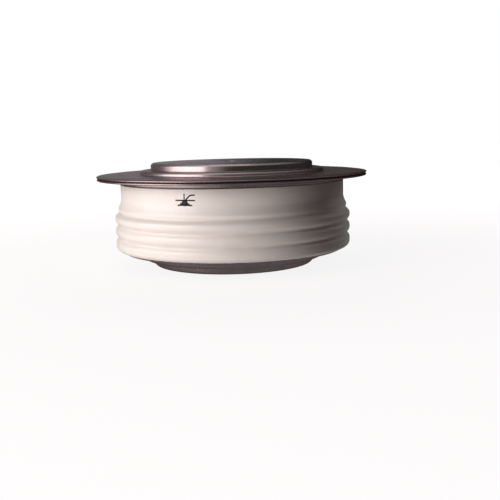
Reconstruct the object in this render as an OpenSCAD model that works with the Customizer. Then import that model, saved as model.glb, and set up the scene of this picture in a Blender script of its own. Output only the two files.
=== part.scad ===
// Press-pack thyristor: a ribbed ceramic capsule with a round copper contact face at each end.
// Millimetres. The axis is Z, the anode contact face lies on Z = 0 and the cathode face is on top.
// The gate terminal leaves the ceramic wall along +Y.

/* [Capsule] */
// Height of the capsule between its two contact faces
capsule_h = 27.5; // [25:0.5:32]
// Diameter of each contact face, from which the case grows outwards
face_d = 44; // [36:0.5:60]
// Width of the welded rim around the ceramic's plain band, the widest part
rim_w = 6.2; // [6:0.1:9]
// Thickness of the formed metal sheets
sheet_t = 0.6; // [0.4:0.1:0.8]
// Radius on the inside of the sheets' bends
bend_in_r = 0.1; // [0.05:0.05:0.3]
// Brazed gap between metal rings and what they are brazed to
braze_gap = 0.03; // [0.01:0.01:0.05]

/* [Contact faces] */
// Width of the raised land around each contact face
land_w = 3; // [2.4:0.1:3.4]
// Bevel around the edge of each contact face
face_bevel = 0.5; // [0.2:0.1:0.8]
// Diameter of the centring hole in each contact face
centre_hole_d = 3.5; // [3:0.1:4.5]
// Depth of the centring hole
centre_hole_depth = 2; // [1.5:0.1:2.3]
// Bevel at the mouth of the centring hole
centre_hole_bevel = 0.3; // [0.1:0.1:0.5]
// Height of the cathode contact face above its land
cathode_stand = 1.9; // [1.5:0.1:2.4]
// Height of the cathode land above the flat of the flange
land_rise = 1; // [0.8:0.1:1.3]
// Height of the anode land above the anode contact face
anode_stand = 1.9; // [1.5:0.1:2.4]
// Height of the formed anode flange
anode_flange_h = 2.6; // [2.2:0.1:3]
// Width of the anode flange's foot under the ceramic
anode_foot_w = 3; // [2:0.1:3.5]

/* [Poles] */
// Width of the shoulder that carries each land
shoulder_w = 1.2; // [0.8:0.1:1.5]
// Height of the anode pole
anode_pole_h = 10; // [9:0.5:10.5]
// Height of the narrow boss on the inner end of the cathode pole
boss_h = 2; // [1:0.5:3]

/* [Weld ring] */
// Height of the weld ring from the ceramic to the rim joint
weld_ring_h = 1.8; // [1.6:0.1:2.4]
// Width of the weld ring's foot on the ceramic
weld_foot_w = 2.4; // [1.8:0.1:2.8]

/* [Ceramic] */
// Gap between the poles and the bore of the ceramic
bore_gap = 3.8; // [3.5:0.1:5]
// Wall of the ceramic at the plain band
ceramic_wall = 3.3; // [3:0.1:4]
// Height of the ribs out from the plain band
rib_out = 1.7; // [1.4:0.1:2.2]
// Number of grooves around the outside
groove_count = 3; // [2:1:3]
// Distance from one groove to the next
groove_pitch = 3.35; // [3:0.05:3.5]
// Depth of the grooves
groove_depth = 0.65; // [0.4:0.05:0.9]
// Height of the lowest rib's crest above the bottom of the ceramic
first_crest = 1.8; // [1.5:0.1:2]
// Height over which the plain band flares out to the ribs
flare_h = 5.2; // [4:0.1:5.5]
// Height of the flare's foot above the topmost rib's crest
flare_foot = 0.1; // [0:0.05:0.4]
// Radius on the bottom outer corner
corner_r = 1.2; // [0.8:0.1:1.4]
// Bevel on the top outer corner
neck_bevel = 0.2; // [0.1:0.05:0.4]

/* [Gate terminal] */
// Distance of the terminal's axis below the top of the ceramic
gate_drop = 3.3; // [3:0.1:3.6]
// Wall of the gate tube
tube_wall = 0.4; // [0.3:0.05:0.6]
// Length of the gate tube outside the plain band
tube_out = 2.7; // [2:0.1:3.2]
// Length of the gate tube inside the capsule
tube_in = 0.4; // [0.2:0.1:0.6]
// Diameter of the gate pin
pin_d = 1.57; // [1.4:0.01:1.8]
// Length of the gate pin beyond the tube
pin_out = 3.2; // [2.4:0.1:3.4]
// Length of the gate pin inside the tube
pin_in = 5.4; // [4:0.1:5.8]
// Step from the gate pin up to its thicker shank
pin_step = 0.2; // [0.16:0.02:0.3]
// Length of the thicker shank beyond the tube
shank_out = 0.2; // [0.1:0.05:0.4]
// Bevel on the tip of the gate pin
pin_bevel = 0.25; // [0.1:0.05:0.35]
// Width of the eyelet's flange around the tube
eyelet_w = 1.3; // [1:0.1:1.5]
// Thickness of the eyelet's flange and of its collar
eyelet_t = 0.5; // [0.3:0.1:0.6]
// Length of the eyelet's collar beyond its flange
eyelet_collar = 0.9; // [0.5:0.1:1.2]
// Depth of the flat seat for the eyelet
seat_depth = 0.5; // [0.4:0.05:0.7]
// Clearance around the eyelet in its seat
seat_gap = 0.2; // [0.1:0.05:0.3]

/* [Thyristor element] */
// Clearance between the centring ring and what it centres
ring_gap = 0.15; // [0.1:0.05:0.2]
// Wall of the centring ring around the anode disc
ring_wall = 2.7; // [2.2:0.1:3]
// Height of the centring ring above the wafer
ring_over = 1.2; // [1:0.1:1.4]
// Thickness of the anode disc
anode_disc_t = 2; // [1.5:0.1:2.5]
// Width of the anode disc that shows around the wafer
seal_w = 1; // [0.8:0.1:1.5]
// Thickness of the silicon wafer
wafer_t = 0.6; // [0.5:0.05:0.8]
// Bevel of the wafer's edge, as a width
wafer_bevel = 0.6; // [0.4:0.1:0.9]
// Width by which the seal reaches over the wafer
seal_lap = 0.8; // [0.5:0.1:1]
// Height of the seal above the wafer
seal_over = 0.5; // [0.4:0.05:0.8]
// Clearance between the seal and the cathode disc
disc_gap = 1.6; // [1:0.1:2]
// Thickness of the cathode disc
cathode_disc_t = 1.2; // [1:0.1:1.5]

/* [Gate contact] */
// Diameter of the bore in the cathode pole
gate_bore_d = 8; // [7:0.1:9]
// Depth of that bore
gate_bore_depth = 8.8; // [8:0.1:9.4]
// Clearance around the insulating cup
cup_gap = 0.1; // [0.05:0.05:0.15]
// Wall of the insulating cup
cup_wall = 1; // [0.8:0.1:1.1]
// Thickness of the cup's closed end
cup_end = 1.2; // [0.8:0.1:1.4]
// Setback of the cup's open end from the pole's inner face
cup_setback = 0.2; // [0.1:0.1:0.4]
// Diameter of the contact's tip
tip_d = 2; // [1.6:0.1:2.4]
// Clearance around the tip in the cathode disc
tip_gap = 1.5; // [1:0.1:2]
// Setback of the contact's head from the pole's inner face
head_setback = 1.4; // [1.2:0.1:1.8]
// Thickness of the contact's head
head_t = 1.2; // [1:0.1:1.4]
// Clearance of the head in the cup
head_gap = 0.3; // [0.2:0.05:0.4]
// Clearance around the spring in the cup
spring_gap = 0.5; // [0.4:0.05:0.6]
// Diameter of the spring's wire
spring_wire = 0.6; // [0.5:0.05:0.7]
// Number of turns in the spring
spring_turns = 4; // [3:1:5]
// Thickness of the spring's seat
spring_seat_t = 0.4; // [0.3:0.1:0.5]
// Clearance of the stem inside the spring
stem_gap = 0.7; // [0.5:0.1:0.9]
// Length of the stem inside the spring
stem_h = 2.2; // [1.5:0.1:2.8]

/* [Gate lead] */
// Diameter of the lead
lead_d = 0.8; // [0.6:0.1:1]
// Clearance of the sleeve on the lead
sleeve_gap = 0.05; // [0.03:0.01:0.1]
// Wall of the lead's sleeve
sleeve_wall = 0.45; // [0.3:0.05:0.5]
// Clearance of the sleeve in the slot
slot_gap = 0.3; // [0.2:0.05:0.4]
// Radius of the lead's two bends
lead_bend = 1.5; // [1.2:0.1:1.7]
// Least length of the straight between the two bends
lead_straight = 0.1; // [0.1:0.1:0.5]
// Distance between the last bend and the ceramic's bore
lead_setback = 0.5; // [0.4:0.05:0.6]

/* [Hidden] */
$fn = 96;

// Length by which a cutter reaches past what it cuts
over = 1;

// Fineness of the two swept wires
spring_sides = 6;
steps_per_turn = 14;
lead_sides = 12;
lead_steps = 8;

// Levels of the outer case, from the bottom up
anode_land_top = anode_stand + sheet_t;
ceramic_bottom = anode_stand + anode_flange_h;
cathode_land_top = capsule_h - cathode_stand;
rim_top = cathode_land_top - land_rise;
rim_joint = rim_top - sheet_t;
ceramic_top = rim_joint - weld_ring_h;
gate_z = ceramic_top - gate_drop;

// Levels of the stack inside, from the bottom up
wafer_bottom = anode_pole_h + anode_disc_t;
wafer_top = wafer_bottom + wafer_t;
cathode_pole_bottom = wafer_top + cathode_disc_t;
head_bottom = cathode_pole_bottom + head_setback;
head_top = head_bottom + head_t;
bore_top = cathode_pole_bottom + gate_bore_depth;
cup_floor = bore_top - cup_end;
spring_top = cup_floor - spring_seat_t;

// Radii of the outer case
face_r = face_d / 2;
pole_r = face_r + shoulder_w;
land_r = face_r + land_w;
bend_out_r = bend_in_r + sheet_t;
bore_r = pole_r + bore_gap;
neck_r = bore_r + ceramic_wall;
rib_r = neck_r + rib_out;
rim_r = neck_r + rim_w;

// Radii of the stack inside
ring_r = bore_r - ring_gap;
anode_disc_r = ring_r - ring_wall - ring_gap;
wafer_r = anode_disc_r - seal_w;
seal_lip_r = wafer_r - wafer_bevel - seal_lap;
cathode_disc_r = seal_lip_r - disc_gap;
gate_hole_r = tip_d / 2 + tip_gap;
cup_r = gate_bore_d / 2 - cup_gap;
cup_bore_r = cup_r - cup_wall;
head_r = cup_bore_r - head_gap;
spring_r = cup_bore_r - spring_gap - spring_wire / 2;
stem_r = spring_r - spring_wire / 2 - stem_gap;

// Radii and places of the gate terminal, places being measured from the capsule's axis
shank_r = pin_d / 2 + pin_step;
tube_bore_r = shank_r + braze_gap;
tube_r = tube_bore_r + tube_wall;
eyelet_bore_r = tube_r + braze_gap;
eyelet_r = eyelet_bore_r + eyelet_w;
seat_y = neck_r - seat_depth;
tube_end = neck_r + tube_out;
tube_start = bore_r - tube_in;
pin_start = tube_end - pin_in;
pin_end = tube_end + pin_out;

// The lead runs out straight, rises in two equal bends with a straight between, and enters the tube
lead_z = (head_bottom + head_top) / 2;
lead_rise = gate_z - lead_z;
lead_middle = max(lead_straight, lead_rise - 2 * lead_bend);
bend_turn = atan2(2 * lead_bend, lead_middle)
    + asin((lead_rise - 2 * lead_bend) / norm([lead_middle, 2 * lead_bend]));
lead_turn_end = bore_r - lead_setback;
lead_turn_start = lead_turn_end - 2 * lead_bend * sin(bend_turn) - lead_middle * cos(bend_turn);
sleeve_bore_r = lead_d / 2 + sleeve_gap;
sleeve_r = sleeve_bore_r + sleeve_wall;
slot_half_w = sleeve_r + slot_gap;
slot_top = lead_z + slot_half_w;

// Ribbed outline of the ceramic
lowest_crest = ceramic_bottom + first_crest;
highest_crest = lowest_crest + groove_count * groove_pitch;
flare_bottom = highest_crest - groove_pitch + flare_foot;
outline_step = groove_pitch / 12;
groove_narrowness = 4;

// Share of the flare that is done at a height, from 1 at the ribs to 0 at the plain band
function flare_share(z) =
    let (t = min(1, max(0, (z - flare_bottom) / flare_h)))
    (1 + cos(180 * t)) / 2;

// Depth of the grooves at a height, which is nothing above and below the grooved band
function groove_cut(z) =
    z < lowest_crest || z > highest_crest
        ? 0
        : groove_depth * pow(abs(sin(180 * (z - lowest_crest) / groove_pitch)), groove_narrowness);

function ceramic_r(z) = neck_r + rib_out * flare_share(z) - groove_cut(z);

function arc_points(x, z, r, from, to, steps) = [
    for (i = [0:steps])
        let (a = from + (to - from) * i / steps)
        [x + r * cos(a), z + r * sin(a)]
];

// Ring of points around the spring's wire, whose middle is at the height z after a turn about the axis
function spring_ring(z, turn) = [
    for (i = [0:spring_sides - 1])
        let (a = 360 * i / spring_sides, out = spring_r + spring_wire / 2 * cos(a))
        [out * cos(turn), out * sin(turn), z + spring_wire / 2 * sin(a)]
];

// Ring of points around the lead's wire, whose middle is at y, z and which climbs at an angle
function lead_ring(y, z, climb) = [
    for (i = [0:lead_sides - 1])
        let (a = 360 * i / lead_sides, up = lead_d / 2 * sin(a))
        [lead_d / 2 * cos(a), y - up * sin(climb), z + up * cos(climb)]
];

module lathe() {
    rotate_extrude() children();
}

// Closed wire through rings of points, each with as many points as the next
module swept_wire(rings) {
    sides = len(rings[0]);
    end = len(rings) - 1;
    walls = [
        for (i = [0:end - 1], j = [0:sides - 1])
            let (k = (j + 1) % sides, a = i * sides, b = a + sides)
            each [[a + j, b + j, b + k], [a + j, b + k, a + k]]
    ];
    near_end = [for (j = [0:sides - 1]) j];
    far_end = [for (j = [sides - 1:-1:0]) end * sides + j];
    polyhedron(points = [for (ring = rings) each ring], faces = concat([near_end], walls, [far_end]));
}

// Rod or tube along Y at the height z, from y0 to y1
module along_y(r, y0, y1, z) {
    translate([0, y0, z]) rotate([-90, 0, 0]) cylinder(h = y1 - y0, r = r);
}

// Flat ring section from radius r0 to a fully rounded edge at radius r1
module round_edged_strip(r0, r1, z, t) {
    translate([r0, z]) square([r1 - t / 2 - r0, t]);
    translate([r1 - t / 2, z + t / 2]) circle(d = t);
}

// Quarter of a bent sheet section: outer radius r, centre at x, z, opening towards the signs sx and sz
module bend_section(x, z, r, t, sx, sz) {
    translate([x, z]) difference() {
        intersection() {
            circle(r = r);
            translate([sx > 0 ? 0 : -r, sz > 0 ? 0 : -r]) square(r);
        }
        circle(r = r - t);
    }
}

module ceramic_housing() {
    flare_top = flare_bottom + flare_h;
    steps = ceil((flare_top - lowest_crest) / outline_step);
    outline = concat(
        [[bore_r, ceramic_bottom]],
        arc_points(rib_r - corner_r, ceramic_bottom + corner_r, corner_r, -90, 0, 10),
        [
            for (i = [0:steps])
                let (z = lowest_crest + (flare_top - lowest_crest) * i / steps)
                [ceramic_r(z), z]
        ],
        [
            [neck_r, ceramic_top - neck_bevel],
            [neck_r - neck_bevel, ceramic_top],
            [bore_r, ceramic_top]
        ]
    );
    color("antiquewhite") difference() {
        lathe() polygon(outline);
        along_y(eyelet_bore_r, bore_r - over, rib_r + over, gate_z);
        along_y(eyelet_r + seat_gap, seat_y, rib_r + over, gate_z);
    }
}

// Round pole standing on its contact face: face, shoulder and body, from the face inwards
module pole_blank(stand, body_top) {
    lathe() {
        polygon([
            [0, 0],
            [face_r - face_bevel, 0],
            [face_r, face_bevel],
            [face_r, stand],
            [pole_r, stand],
            [pole_r, body_top],
            [0, body_top]
        ]);
    }
}

// Centring hole that opens at the contact face
module centre_hole() {
    cylinder(h = centre_hole_depth, d = centre_hole_d);
    cylinder(h = centre_hole_bevel, d1 = centre_hole_d + 2 * centre_hole_bevel, d2 = centre_hole_d);
    translate([0, 0, -over]) cylinder(h = over, d = centre_hole_d + 2 * centre_hole_bevel);
}

module anode_pole() {
    color("rosybrown") difference() {
        pole_blank(anode_land_top, anode_pole_h);
        centre_hole();
    }
}

// Slot for the lead from the axis past the radius r, open at the level below
module lead_slot(r, below) {
    translate([-slot_half_w, 0, below - over])
        cube([2 * slot_half_w, r + over, slot_top - below + over]);
}

module cathode_pole() {
    body_bottom = capsule_h - cathode_pole_bottom;
    color("rosybrown") difference() {
        union() {
            translate([0, 0, capsule_h]) mirror([0, 0, 1])
                pole_blank(cathode_stand + sheet_t, body_bottom - boss_h);
            translate([0, 0, cathode_pole_bottom]) cylinder(h = boss_h, r = cathode_disc_r);
        }
        translate([0, 0, capsule_h]) mirror([0, 0, 1]) centre_hole();
        translate([0, 0, cathode_pole_bottom - over])
            cylinder(h = gate_bore_depth + over, d = gate_bore_d);
        lead_slot(pole_r, cathode_pole_bottom);
    }
}

// Formed lid sheet: land on the pole's shoulder, step down, then the wide flat out to the rim
module cathode_flange() {
    land_bottom = cathode_land_top - sheet_t;
    color("dimgray") lathe() {
        translate([face_r + braze_gap, land_bottom])
            square([land_r - bend_out_r - face_r - braze_gap, sheet_t]);
        bend_section(land_r - bend_out_r, cathode_land_top - bend_out_r, bend_out_r, sheet_t, 1, 1);
        translate([land_r - sheet_t, rim_top])
            square([sheet_t, cathode_land_top - bend_out_r - rim_top]);
        round_edged_strip(land_r - sheet_t, rim_r, rim_joint, sheet_t);
    }
}

// Formed ring: foot on the ceramic, short wall, then the lower half of the rim
module weld_ring() {
    wall_top = rim_joint - sheet_t;
    color("dimgray") lathe() {
        translate([neck_r - weld_foot_w, ceramic_top]) square([weld_foot_w, sheet_t]);
        translate([neck_r - sheet_t, ceramic_top]) square([sheet_t, wall_top - ceramic_top]);
        round_edged_strip(neck_r - sheet_t, rim_r, wall_top, sheet_t);
    }
}

// Formed sheet: land under the pole's shoulder, wall up, then a foot under the ceramic
module anode_flange() {
    foot_bottom = ceramic_bottom - sheet_t;
    color("dimgray") lathe() {
        translate([face_r + braze_gap, anode_stand])
            square([land_r - bend_out_r - face_r - braze_gap, sheet_t]);
        bend_section(land_r - bend_out_r, anode_stand + bend_out_r, bend_out_r, sheet_t, 1, -1);
        translate([land_r - sheet_t, anode_stand + bend_out_r])
            square([sheet_t, ceramic_bottom - anode_stand - bend_out_r]);
        translate([land_r - sheet_t, foot_bottom])
            square([bore_r + anode_foot_w - land_r + sheet_t, sheet_t]);
    }
}

module gate_eyelet() {
    flange_end = seat_y + eyelet_t;
    color("silver") difference() {
        union() {
            along_y(eyelet_r, seat_y, flange_end, gate_z);
            along_y(eyelet_bore_r + eyelet_t, seat_y, flange_end + eyelet_collar, gate_z);
        }
        along_y(eyelet_bore_r, seat_y - over, flange_end + eyelet_collar + over, gate_z);
    }
}

module gate_tube() {
    color("silver") difference() {
        along_y(tube_r, tube_start, tube_end, gate_z);
        along_y(tube_bore_r, tube_start - over, tube_end + over, gate_z);
    }
}

// Turned pin: thicker shank in the tube, then the free pin with a bevelled tip
module gate_pin() {
    pin_r = pin_d / 2;
    color("silver") translate([0, 0, gate_z]) rotate([-90, 0, 0]) lathe() polygon([
        [0, pin_start],
        [shank_r, pin_start],
        [shank_r, tube_end + shank_out],
        [pin_r, tube_end + shank_out],
        [pin_r, pin_end - pin_bevel],
        [pin_r - pin_bevel, pin_end],
        [0, pin_end]
    ]);
}

// Silver wire: out along the slot, up in two equal bends, then into the tube
module gate_lead() {
    turns = [for (i = [0:lead_steps]) bend_turn * i / lead_steps];
    color("gainsboro") swept_wire([
        lead_ring(head_r, lead_z, 0),
        for (a = turns)
            lead_ring(lead_turn_start + lead_bend * sin(a), lead_z + lead_bend * (1 - cos(a)), a),
        for (i = [lead_steps:-1:0])
            let (a = turns[i])
            lead_ring(lead_turn_end - lead_bend * sin(a), gate_z - lead_bend * (1 - cos(a)), a),
        lead_ring(pin_start, gate_z, 0)
    ]);
}

module lead_sleeve() {
    color("white") difference() {
        along_y(sleeve_r, cup_r, pole_r, lead_z);
        along_y(sleeve_bore_r, cup_r - over, pole_r + over, lead_z);
    }
}

module gate_insulator() {
    mouth = cathode_pole_bottom + cup_setback;
    color("ivory") difference() {
        translate([0, 0, mouth]) cylinder(h = bore_top - mouth, r = cup_r);
        translate([0, 0, mouth - over]) cylinder(h = cup_floor - mouth + over, r = cup_bore_r);
        lead_slot(cup_r, mouth);
    }
}

module spring_seat() {
    color("silver") translate([0, 0, spring_top]) difference() {
        cylinder(h = spring_seat_t, r = head_r);
        translate([0, 0, -over]) cylinder(h = spring_seat_t + 2 * over, r = stem_r);
    }
}

// Round wire coiled between the contact's head and the spring's seat
module gate_spring() {
    steps = spring_turns * steps_per_turn;
    low = head_top + spring_wire / 2;
    rise = spring_top - head_top - spring_wire;
    color("silver") swept_wire([
        for (i = [0:steps]) spring_ring(low + rise * i / steps, 360 * i / steps_per_turn)
    ]);
}

// Turned contact: round tip on the silicon, head that carries the spring, stem inside the spring
module gate_contact() {
    tip_r = tip_d / 2;
    color("gold") {
        translate([0, 0, wafer_top + tip_r]) sphere(r = tip_r);
        translate([0, 0, wafer_top + tip_r]) cylinder(h = head_bottom - wafer_top - tip_r, r = tip_r);
        translate([0, 0, head_bottom]) cylinder(h = head_t, r = head_r);
        translate([0, 0, head_top]) cylinder(h = stem_h, r = stem_r);
    }
}

module cathode_disc() {
    color("slategray") translate([0, 0, wafer_top]) difference() {
        cylinder(h = cathode_disc_t, r = cathode_disc_r);
        translate([0, 0, -over]) cylinder(h = cathode_disc_t + 2 * over, r = gate_hole_r);
    }
}

module silicon_wafer() {
    color("darkslategray") translate([0, 0, wafer_bottom])
        cylinder(h = wafer_t, r1 = wafer_r, r2 = wafer_r - wafer_bevel);
}

// Moulded rubber ring that covers the wafer's bevelled edge
module edge_seal() {
    seal_top = wafer_top + seal_over;
    color("indianred") lathe() {
        polygon([
            [wafer_r, wafer_bottom],
            [anode_disc_r, wafer_bottom],
            [anode_disc_r, seal_top],
            [seal_lip_r, seal_top],
            [seal_lip_r, wafer_top],
            [wafer_r - wafer_bevel, wafer_top]
        ]);
    }
}

module anode_disc() {
    color("slategray") translate([0, 0, anode_pole_h])
        cylinder(h = anode_disc_t, r = anode_disc_r);
}

// Ring that stands on the anode flange and centres the pole, the disc and the seal in the ceramic
module centring_ring() {
    ring_top = wafer_top + ring_over;
    color("white") difference() {
        translate([0, 0, ceramic_bottom])
            cylinder(h = ring_top - ceramic_bottom, r = ring_r);
        translate([0, 0, ceramic_bottom - over])
            cylinder(h = ring_top - ceramic_bottom + 2 * over, r = pole_r + ring_gap);
        translate([0, 0, anode_pole_h])
            cylinder(h = ring_top - anode_pole_h + over, r = anode_disc_r + ring_gap);
    }
}

ceramic_housing();
cathode_pole();
anode_pole();
cathode_flange();
weld_ring();
anode_flange();
gate_eyelet();
gate_tube();
gate_pin();
gate_lead();
lead_sleeve();
gate_insulator();
spring_seat();
gate_spring();
gate_contact();
cathode_disc();
silicon_wafer();
edge_seal();
anode_disc();
centring_ring();
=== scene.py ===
import math

import bmesh
import bpy
from mathutils import Matrix, Vector


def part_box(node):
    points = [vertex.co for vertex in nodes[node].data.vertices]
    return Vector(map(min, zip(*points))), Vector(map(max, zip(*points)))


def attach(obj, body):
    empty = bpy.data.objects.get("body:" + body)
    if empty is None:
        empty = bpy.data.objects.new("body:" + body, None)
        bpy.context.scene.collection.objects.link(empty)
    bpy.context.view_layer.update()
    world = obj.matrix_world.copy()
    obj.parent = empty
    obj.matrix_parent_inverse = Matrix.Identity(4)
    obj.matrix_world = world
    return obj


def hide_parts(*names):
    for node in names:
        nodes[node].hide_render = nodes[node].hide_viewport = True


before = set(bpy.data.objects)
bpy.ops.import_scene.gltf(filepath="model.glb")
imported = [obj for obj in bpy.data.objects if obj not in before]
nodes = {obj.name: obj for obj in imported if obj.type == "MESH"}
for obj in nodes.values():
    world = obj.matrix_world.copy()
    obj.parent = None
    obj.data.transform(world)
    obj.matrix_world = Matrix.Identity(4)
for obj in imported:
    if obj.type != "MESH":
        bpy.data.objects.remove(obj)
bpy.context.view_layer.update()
mm = 0.001
print("frame loaded with", len(nodes), "nodes")


def setSocket(tree, socket, value):
    if isinstance(value, bpy.types.NodeSocket):
        tree.links.new(value, socket)
    else:
        socket.default_value = value


def addNode(tree, kind, inputs=None, **settings):
    node = tree.nodes.new(kind)
    for key, value in settings.items():
        setattr(node, key, value)
    for key, value in (inputs or {}).items():
        setSocket(tree, node.inputs[key], value)
    return node


def calc(tree, operation, *values, clamp=False):
    node = addNode(tree, "ShaderNodeMath", dict(enumerate(values)), operation=operation)
    node.use_clamp = clamp
    return node.outputs[0]


def remap(tree, value, low, high, toLow=0.0, toHigh=1.0, smooth=False):
    kind = "SMOOTHSTEP" if smooth else "LINEAR"
    ends = {"Value": value, "From Min": low, "From Max": high, "To Min": toLow, "To Max": toHigh}
    return addNode(tree, "ShaderNodeMapRange", ends, interpolation_type=kind).outputs[0]


def times(tree, *values):
    return calc(tree, "MULTIPLY", *values)


def plus(tree, *values):
    return calc(tree, "ADD", *values)


def minus(tree, *values):
    return calc(tree, "SUBTRACT", *values)


def divide(tree, *values):
    return calc(tree, "DIVIDE", *values)


def combine(tree, x, y, z):
    return addNode(tree, "ShaderNodeCombineXYZ", {0: x, 1: y, 2: z}).outputs[0]


def split(tree, vector):
    return addNode(tree, "ShaderNodeSeparateXYZ", {0: vector}).outputs


def vectorCalc(tree, operation, *values, output=0):
    node = addNode(tree, "ShaderNodeVectorMath", dict(enumerate(values)), operation=operation)
    return node.outputs[output]


def flatPlace(tree, point):
    # the point without its height, and how far that is from the axis
    flat = vectorCalc(tree, "MULTIPLY", point, (1, 1, 0))
    return flat, vectorCalc(tree, "LENGTH", flat, output="Value")


def noiseAt(tree, point, scale, detail, more=None, **settings):
    inputs = {"Vector": point, "Scale": scale, "Detail": detail, **(more or {})}
    return addNode(tree, "ShaderNodeTexNoise", inputs, **settings).outputs["Fac"]


def emptyTree(holder):
    # the node tree of a material or the world, with nothing in it yet
    holder.use_nodes = True
    holder.node_tree.nodes.clear()
    return holder.node_tree


def newObject(name, data):
    thing = bpy.data.objects.new(name, data)
    bpy.context.scene.collection.objects.link(thing)
    return thing


def nodeGroup(name, kind, inputs, outputs):
    tree = bpy.data.node_groups.new(name, kind)
    for label, (socketKind, value) in inputs.items():
        socket = tree.interface.new_socket(label, in_out="INPUT", socket_type="NodeSocket" + socketKind)
        if value is not None:
            socket.default_value = value
    for label, socketKind in outputs.items():
        tree.interface.new_socket(label, in_out="OUTPUT", socket_type="NodeSocket" + socketKind)
    return tree, tree.nodes.new("NodeGroupInput").outputs, tree.nodes.new("NodeGroupOutput").inputs


# Camera as fitted to the photograph: place in metres, angles in degrees
view = {
    "place": (0, -0.2024, 0.03466), "yaw": 1.272, "pitch": 8.967, "roll": -1.316,
    "lens": 52.89, "sensor": 36, "clip": 0.01,
}


def addCamera():
    data = bpy.data.cameras.new("camera")
    data.lens = view["lens"]
    data.sensor_width = view["sensor"]
    data.clip_start = view["clip"]
    camera = newObject("camera", data)
    stand = Matrix.Translation(view["place"])
    for angle, axis in ((-view["yaw"], "Z"), (90 - view["pitch"], "X"), (view["roll"], "Z")):
        stand = stand @ Matrix.Rotation(math.radians(angle), 4, axis)
    camera.matrix_world = stand
    bpy.context.scene.camera = camera
    bpy.context.scene.view_settings.view_transform = "Standard"


addCamera()


def outwards(azimuth):
    # azimuth 0 is the camera's side, and it grows to the camera's left
    turn = math.radians(azimuth)
    return Vector((-math.sin(turn), -math.cos(turn), 0))


# Floor, in metres: its glow, for the camera and in mirrors, goes from one value near the part to another
# farther out; in mirrors it is dim near the part, a painted shadow of the part. Its side at azimuth litSide
# is litGain times as bright in mirrors, a painted pool of lamp light, which sets in over the distances of
# litReach and the cosines of litEdge.
floorLook = {
    "size": 6.0, "color": (0.15, 0.125, 0.125), "near": 0.05, "far": 0.3,
    "cameraGlow": (0.88, 1.0), "mirrorGlow": (0.2, 0.6), "mirrorFar": 0.8,
    "litSide": 60, "litGain": 5.0, "litEdge": (0.5, 0.9), "litReach": (0.05, 0.12),
}


def seenRays(tree):
    # 1 for what the camera, a mirror or glass sees, 0 for light that falls on matt surfaces
    rays = addNode(tree, "ShaderNodeLightPath").outputs
    seen = calc(tree, "MAXIMUM", rays["Is Camera Ray"], rays["Is Glossy Ray"])
    return calc(tree, "MAXIMUM", seen, rays["Is Transmission Ray"])


def addFloor():
    bpy.ops.mesh.primitive_plane_add(size=floorLook["size"])
    floor = bpy.context.object
    floor.name = "floor"
    material = bpy.data.materials.new("paleFloor")
    tree = emptyTree(material)
    place = addNode(tree, "ShaderNodeTexCoord").outputs["Object"]
    distance = vectorCalc(tree, "LENGTH", place, output="Value")
    near, far = floorLook["near"], floorLook["far"]
    toCamera = remap(tree, distance, near, far, *floorLook["cameraGlow"])
    # painted shadow of the part: the floor in mirrors is dim near it
    inMirrors = remap(tree, distance, near, floorLook["mirrorFar"], *floorLook["mirrorGlow"])
    isCamera = addNode(tree, "ShaderNodeLightPath").outputs["Is Camera Ray"]
    # painted pool of lamp light on one side of the floor, seen in mirrors
    litSide = tuple(outwards(floorLook["litSide"]))
    facing = vectorCalc(tree, "DOT_PRODUCT", vectorCalc(tree, "NORMALIZE", place), litSide, output="Value")
    litPart = remap(tree, facing, *floorLook["litEdge"], smooth=True)
    litPart = times(tree, litPart, remap(tree, distance, *floorLook["litReach"]))
    inMirrors = times(tree, inMirrors, remap(tree, litPart, 0.0, 1.0, 1.0, floorLook["litGain"]))
    glow = remap(tree, isCamera, 0.0, 1.0, inMirrors, toCamera)
    strength = times(tree, glow, seenRays(tree))
    lit = addNode(tree, "ShaderNodeBsdfDiffuse", {"Color": (*floorLook["color"], 1)})
    shine = addNode(tree, "ShaderNodeEmission", {"Color": (1, 1, 1, 1), "Strength": strength})
    both = addNode(tree, "ShaderNodeAddShader", {0: lit.outputs[0], 1: shine.outputs[0]})
    addNode(tree, "ShaderNodeOutputMaterial", {"Surface": both.outputs[0]})
    floor.data.materials.append(material)
    floor.visible_shadow = False  # the table light shines through from below


# colour and strength of what lights matt surfaces, and of what the camera, mirrors and glass see
worldLook = {"ambient": ((1.0, 0.78, 0.84), 0.012), "backdrop": ((1, 1, 1), 1.0)}


def addWorld():
    world = bpy.data.worlds.new("studio")
    bpy.context.scene.world = world
    tree = emptyTree(world)
    mixed = addNode(tree, "ShaderNodeMixShader", {0: seenRays(tree)})
    for index, (color, strength) in enumerate(worldLook.values(), 1):
        shade = addNode(tree, "ShaderNodeBackground", {"Color": (*color, 1), "Strength": strength})
        setSocket(tree, mixed.inputs[index], shade.outputs[0])
    addNode(tree, "ShaderNodeOutputWorld", {"Surface": mixed.outputs[0]})


# Soft panels, in metres: azimuth, elevation, width, height, brightness and colour
warm, neutral = (1, 0.94, 0.91), (1, 0.96, 0.94)
panels = {
    "keyFront": (51, 17, 0.235, 0.32, 2.4, warm),
    "keySide": (78, 17, 0.2, 0.32, 2.2, warm),
    "topSoft": (34, 60, 0.34, 0.34, 0.4, (1, 0.95, 0.91)),
    "mattFront": (50, 10, 0.2, 0.2, 4.3, warm),
    "tableLight": (40, -35, 0.2, 0.2, 6.0, warm),
    "rearFill": (226, 20, 0.3, 0.3, 1.6, neutral),
    "backFill": (172, 25, 0.35, 0.3, 2.2, neutral),
}
mattOnly = ["mattFront", "tableLight", "rearFill", "backFill"]  # these don't show in the metal
panelDistance = 0.42
panelTarget = 0.02  # height of the point that the panels face


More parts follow.
